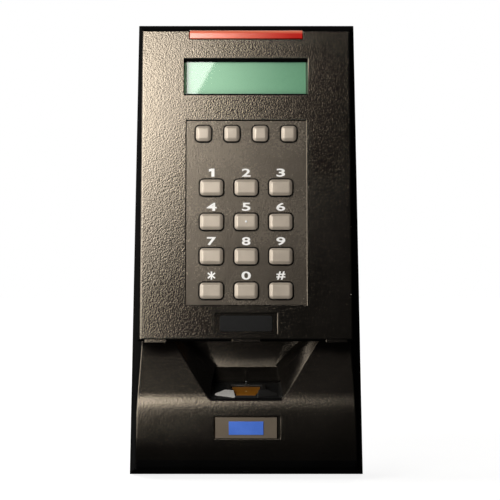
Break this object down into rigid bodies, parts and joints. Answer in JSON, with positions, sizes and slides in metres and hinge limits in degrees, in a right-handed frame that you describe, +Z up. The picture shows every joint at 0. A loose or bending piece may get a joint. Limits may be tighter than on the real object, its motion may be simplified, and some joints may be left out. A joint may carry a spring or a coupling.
{
  "type": "wall card reader",
  "caption": "Wall-mounted access reader with a sloped face, key pad, small display, light bar and a finger sensor set in a pocket of its rounded chin.",
  "frame": {"origin": "middle of the wall screw pattern, on the wall face", "axes": "+Y into the wall, +Z up, +X to the right of someone who faces the reader"},
  "size_m": [0.104, 0.0408, 0.2],
  "materials": {
    "cover_charcoal": "fine moulded grain",
    "housing_black": "fine moulded grain",
    "rest_black": "satin",
    "panel_charcoal": "smooth satin film",
    "key_grey": "satin metallic paint",
    "badge_black": "gloss",
    "badge_grey": "satin",
    "label_blue": "gloss",
    "light_red": "translucent",
    "window_clear": "clear",
    "display_green": "pale green cell",
    "backlight_white": "white diffuser",
    "frame_steel": "stamped",
    "screw_steel": "zinc plated",
    "plate_steel": "zinc plated sheet",
    "silicone": "translucent grey",
    "rubber_black": "matte",
    "board_green": "solder mask",
    "copper": "flat copper track",
    "chip_black": "matte",
    "terminal_green": "matte",
    "ribbon": "film",
    "lamp_white": "clear lamp bodies",
    "sensor_amber": "polished"
  },
  "bodies": {
    "reader": {"front_cover": "cover_charcoal", "lower_cover": "cover_charcoal", "rear_housing": "housing_black", "finger_rest": "rest_black", "key_panel": "panel_charcoal", "badge_upper": "badge_black", "badge_lower": "badge_grey", "badge_label": "label_blue", "light_bar": "light_red", "display_window": "window_clear", "display_cell": "display_green", "backlight": "backlight_white", "display_frame": "frame_steel", "sensor_bezel": "frame_steel", "cover_screws": "screw_steel", "lower_cover_screws": "screw_steel", "front_board_screws": "screw_steel", "main_board_screws": "screw_steel", "sensor_screws": "screw_steel", "security_screw": "screw_steel", "terminal_screws": "screw_steel", "wall_plate": "plate_steel", "key_mat": "silicone", "key_domes": "silicone", "cover_seal": "rubber_black", "sensor_gasket": "rubber_black", "front_board": "board_green", "main_board": "board_green", "sensor_board": "board_green", "antenna_coil": "copper", "board_chips": "chip_black", "buzzer": "chip_black", "tamper_sensor": "chip_black", "terminal_block": "terminal_green", "board_ribbon": "ribbon", "sensor_ribbon": "ribbon", "status_leds": "lamp_white", "sensor_die": "sensor_amber"},
    "soft_key_1": {"soft_key_1": "key_grey"},
    "soft_key_2": {"soft_key_2": "key_grey"},
    "soft_key_3": {"soft_key_3": "key_grey"},
    "soft_key_4": {"soft_key_4": "key_grey"},
    "key_1": {"key_1": "key_grey"},
    "key_2": {"key_2": "key_grey"},
    "key_3": {"key_3": "key_grey"},
    "key_4": {"key_4": "key_grey"},
    "key_5": {"key_5": "key_grey"},
    "key_6": {"key_6": "key_grey"},
    "key_7": {"key_7": "key_grey"},
    "key_8": {"key_8": "key_grey"},
    "key_9": {"key_9": "key_grey"},
    "key_star": {"key_star": "key_grey"},
    "key_0": {"key_0": "key_grey"},
    "key_hash": {"key_hash": "key_grey"}
  },
  "joints": [
    {"name": "soft_key_1_press", "type": "slide", "parent": "reader", "child": "soft_key_1", "axis": [0, 0.9929, -0.119], "range_m": [0, 0.0012], "stiffness_N_per_m": 1200, "deforming": ["key_domes"]},
    {"name": "soft_key_2_press", "type": "slide", "parent": "reader", "child": "soft_key_2", "axis": [0, 0.9929, -0.119], "range_m": [0, 0.0012], "stiffness_N_per_m": 1200, "deforming": ["key_domes"]},
    {"name": "soft_key_3_press", "type": "slide", "parent": "reader", "child": "soft_key_3", "axis": [0, 0.9929, -0.119], "range_m": [0, 0.0012], "stiffness_N_per_m": 1200, "deforming": ["key_domes"]},
    {"name": "soft_key_4_press", "type": "slide", "parent": "reader", "child": "soft_key_4", "axis": [0, 0.9929, -0.119], "range_m": [0, 0.0012], "stiffness_N_per_m": 1200, "deforming": ["key_domes"]},
    {"name": "key_1_press", "type": "slide", "parent": "reader", "child": "key_1", "axis": [0, 0.9929, -0.119], "range_m": [0, 0.0012], "stiffness_N_per_m": 1200, "deforming": ["key_domes"]},
    {"name": "key_2_press", "type": "slide", "parent": "reader", "child": "key_2", "axis": [0, 0.9929, -0.119], "range_m": [0, 0.0012], "stiffness_N_per_m": 1200, "deforming": ["key_domes"]},
    {"name": "key_3_press", "type": "slide", "parent": "reader", "child": "key_3", "axis": [0, 0.9929, -0.119], "range_m": [0, 0.0012], "stiffness_N_per_m": 1200, "deforming": ["key_domes"]},
    {"name": "key_4_press", "type": "slide", "parent": "reader", "child": "key_4", "axis": [0, 0.9929, -0.119], "range_m": [0, 0.0012], "stiffness_N_per_m": 1200, "deforming": ["key_domes"]},
    {"name": "key_5_press", "type": "slide", "parent": "reader", "child": "key_5", "axis": [0, 0.9929, -0.119], "range_m": [0, 0.0012], "stiffness_N_per_m": 1200, "deforming": ["key_domes"]},
    {"name": "key_6_press", "type": "slide", "parent": "reader", "child": "key_6", "axis": [0, 0.9929, -0.119], "range_m": [0, 0.0012], "stiffness_N_per_m": 1200, "deforming": ["key_domes"]},
    {"name": "key_7_press", "type": "slide", "parent": "reader", "child": "key_7", "axis": [0, 0.9929, -0.119], "range_m": [0, 0.0012], "stiffness_N_per_m": 1200, "deforming": ["key_domes"]},
    {"name": "key_8_press", "type": "slide", "parent": "reader", "child": "key_8", "axis": [0, 0.9929, -0.119], "range_m": [0, 0.0012], "stiffness_N_per_m": 1200, "deforming": ["key_domes"]},
    {"name": "key_9_press", "type": "slide", "parent": "reader", "child": "key_9", "axis": [0, 0.9929, -0.119], "range_m": [0, 0.0012], "stiffness_N_per_m": 1200, "deforming": ["key_domes"]},
    {"name": "key_star_press", "type": "slide", "parent": "reader", "child": "key_star", "axis": [0, 0.9929, -0.119], "range_m": [0, 0.0012], "stiffness_N_per_m": 1200, "deforming": ["key_domes"]},
    {"name": "key_0_press", "type": "slide", "parent": "reader", "child": "key_0", "axis": [0, 0.9929, -0.119], "range_m": [0, 0.0012], "stiffness_N_per_m": 1200, "deforming": ["key_domes"]},
    {"name": "key_hash_press", "type": "slide", "parent": "reader", "child": "key_hash", "axis": [0, 0.9929, -0.119], "range_m": [0, 0.0012], "stiffness_N_per_m": 1200, "deforming": ["key_domes"]}
  ]
}
